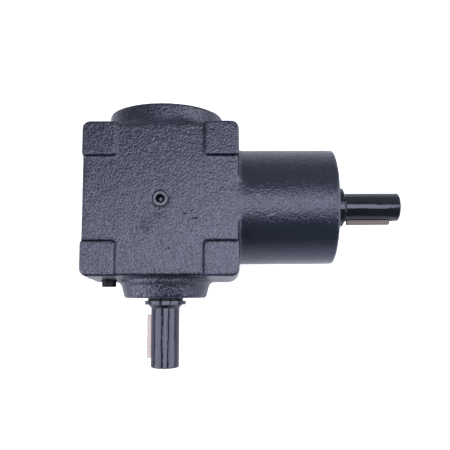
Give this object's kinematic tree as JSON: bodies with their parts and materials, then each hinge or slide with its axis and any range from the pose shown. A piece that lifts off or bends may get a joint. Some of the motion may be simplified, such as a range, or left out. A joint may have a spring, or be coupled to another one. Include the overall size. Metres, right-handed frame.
{
  "type": "right angle gearbox",
  "caption": "Cast box with a horizontal keyed input shaft in a long barrel and a keyed output shaft at a right angle, joined by equal bevel gears.",
  "frame": {"origin": "on the plane of the rear pads, straight below the point where the two shaft axes cross; it is also the centre of the four base holes", "axes": "+X along the input shaft towards its free end, -Y along the output shaft towards its free end, +Z from the rear pads to the front face that the picture shows"},
  "size_m": [0.2796, 0.2256, 0.1102],
  "materials": {
    "enamelled_casting": "semi-gloss dark blue-black enamel over a rough sand casting",
    "painted_steel": "glossy dark enamel over turned steel",
    "bare_key_steel": "bare matte key steel",
    "spring_steel": "dark oiled spring steel",
    "gear_steel": "machined case hardened steel",
    "bearing_steel": "ground bearing steel",
    "seal_rubber": "black nitrile rubber",
    "plug_steel": "blackened steel"
  },
  "bodies": {
    "housing": {"housing": "enamelled_casting", "fill_plug": "painted_steel", "vent_plug": "painted_steel", "end_cover": "painted_steel", "end_cover_seal": "seal_rubber", "end_cover_retaining_ring": "spring_steel", "input_oil_seal": "seal_rubber", "output_oil_seal": "seal_rubber", "input_bearing_retaining_ring": "spring_steel", "output_bearing_retaining_ring": "spring_steel", "input_inner_bearing_outer_ring": "bearing_steel", "input_outer_bearing_outer_ring": "bearing_steel", "output_lower_bearing_outer_ring": "bearing_steel", "output_upper_bearing_outer_ring": "bearing_steel"},
    "input_shaft": {"input_shaft": "painted_steel", "input_shaft_key": "bare_key_steel", "pinion_gear": "gear_steel", "pinion_key": "bare_key_steel", "pinion_shim": "bearing_steel", "pinion_retaining_ring": "spring_steel", "input_inner_bearing_inner_ring": "bearing_steel", "input_outer_bearing_inner_ring": "bearing_steel"},
    "output_shaft": {"output_shaft": "painted_steel", "output_shaft_key": "bare_key_steel", "crown_gear": "gear_steel", "crown_key": "bare_key_steel", "crown_gear_shim": "bearing_steel", "output_seal_sleeve": "painted_steel", "output_shaft_retaining_ring": "spring_steel", "output_lower_bearing_inner_ring": "bearing_steel", "output_upper_bearing_inner_ring": "bearing_steel"},
    "input_rollers": {"input_inner_bearing_rollers": "bearing_steel", "input_outer_bearing_rollers": "bearing_steel"},
    "output_rollers": {"output_lower_bearing_rollers": "bearing_steel", "output_upper_bearing_rollers": "bearing_steel"}
  },
  "joints": [
    {"name": "input_spin", "type": "hinge", "parent": "housing", "child": "input_shaft", "pos_m": [0, 0, 0.0551], "axis": [1, 0, 0], "continuous": true},
    {"name": "output_spin", "type": "hinge", "parent": "housing", "child": "output_shaft", "pos_m": [0, 0, 0.0551], "axis": [0, -1, 0], "continuous": true},
    {"name": "input_rollers_spin", "type": "hinge", "parent": "housing", "child": "input_rollers", "pos_m": [0, 0, 0.0551], "axis": [1, 0, 0], "continuous": true},
    {"name": "output_rollers_spin", "type": "hinge", "parent": "housing", "child": "output_rollers", "pos_m": [0, 0, 0.0551], "axis": [0, -1, 0], "continuous": true}
  ],
  "couplings": [
    {"joint": "output_spin", "follows": "input_spin", "ratio": 1},
    {"joint": "input_rollers_spin", "follows": "input_spin", "ratio": 0.39691},
    {"joint": "output_rollers_spin", "follows": "input_spin", "ratio": 0.40323}
  ]
}
